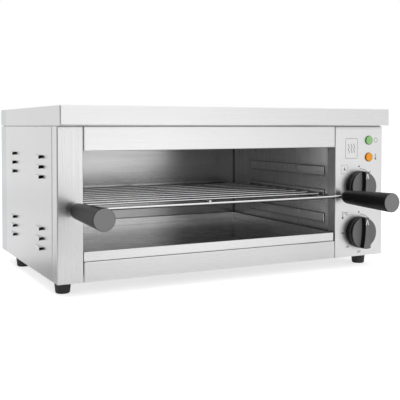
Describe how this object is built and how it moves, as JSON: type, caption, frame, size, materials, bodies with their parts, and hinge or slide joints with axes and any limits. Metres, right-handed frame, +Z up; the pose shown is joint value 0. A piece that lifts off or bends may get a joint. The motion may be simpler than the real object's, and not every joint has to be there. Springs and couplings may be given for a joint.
{
  "type": "cheese melter grill",
  "caption": "Countertop grill with an open front cavity, a sliding wire grid with two grips, a crumb tray, timer and thermostat knobs, lamps, side louvres and short feet.",
  "frame": {"origin": "bottom centre of the bounding box, on the plane that the feet stand on", "axes": "+X to the right seen from the front, +Y towards the back, +Z up; the open front faces -Y"},
  "size_m": [0.6104, 0.5146, 0.2819],
  "materials": {
    "satin_steel": "satin",
    "liner_steel": "satin",
    "grid_chrome": "polished",
    "grip_black": "matte",
    "knob_black": "semi-gloss",
    "foot_rubber": "matte",
    "green_lens": "glossy",
    "orange_lens": "glossy",
    "element_sheath": "matte",
    "zinc_steel": "satin",
    "inner_plastic": "matte",
    "dark_plastic": "matte",
    "capillary_copper": "satin",
    "lead_silicone": "matte"
  },
  "bodies": {
    "housing": {"top_cover": "satin_steel", "top_frame": "dark_plastic", "left_side_panel": "satin_steel", "right_side_panel": "satin_steel", "back_panel": "satin_steel", "back_panel_screws": "zinc_steel", "cover_screws": "zinc_steel", "base_pan": "liner_steel", "front_post_left": "satin_steel", "top_apron": "satin_steel", "lower_apron": "satin_steel", "control_panel": "satin_steel", "foot_front_left": "foot_rubber", "foot_back_left": "foot_rubber", "foot_front_right": "foot_rubber", "foot_back_right": "foot_rubber", "foot_screws": "zinc_steel", "foot_nuts": "zinc_steel", "liner_left": "liner_steel", "liner_right": "liner_steel", "liner_back": "liner_steel", "liner_floor": "liner_steel", "reflector": "liner_steel", "grid_runner_left": "liner_steel", "grid_runner_right": "liner_steel", "heating_element_front": "element_sheath", "heating_element_back": "element_sheath", "element_fittings": "zinc_steel", "element_hangers": "liner_steel", "thermostat_bulb": "capillary_copper", "bulb_clips": "zinc_steel", "thermostat_capillary": "capillary_copper", "timer_body": "inner_plastic", "thermostat_body": "inner_plastic", "control_screws": "zinc_steel", "green_lamp_lens": "green_lens", "orange_lamp_lens": "orange_lens", "lamp_bodies": "dark_plastic", "heat_shield": "liner_steel", "terminal_block": "inner_plastic", "thermal_cutout": "dark_plastic", "earth_stud": "zinc_steel", "lead_wires": "lead_silicone", "cable_gland": "dark_plastic"},
    "grid": {"grid_front_bar": "grid_chrome", "grid_frame": "grid_chrome", "grid_brace": "grid_chrome", "grid_wires": "grid_chrome", "handle_grip_left": "grip_black", "handle_grip_right": "grip_black"},
    "tray": {"crumb_tray": "satin_steel"},
    "timer": {"timer_knob": "knob_black", "timer_shaft": "zinc_steel"},
    "thermostat": {"thermostat_knob": "knob_black", "thermostat_shaft": "zinc_steel"}
  },
  "joints": [
    {"name": "grid_slide", "type": "slide", "parent": "housing", "child": "grid", "axis": [0, -1, 0], "range_m": [0, 0.2]},
    {"name": "tray_slide", "type": "slide", "parent": "housing", "child": "tray", "axis": [0, -1, 0], "range_m": [0, 0.3]},
    {"name": "timer_turn", "type": "hinge", "parent": "housing", "child": "timer", "pos_m": [0.248, -0.1393, 0.1446], "axis": [0, 1, 0], "range_deg": [0, 270]},
    {"name": "thermostat_turn", "type": "hinge", "parent": "housing", "child": "thermostat", "pos_m": [0.248, -0.1393, 0.0637], "axis": [0, 1, 0], "range_deg": [0, 270]}
  ]
}
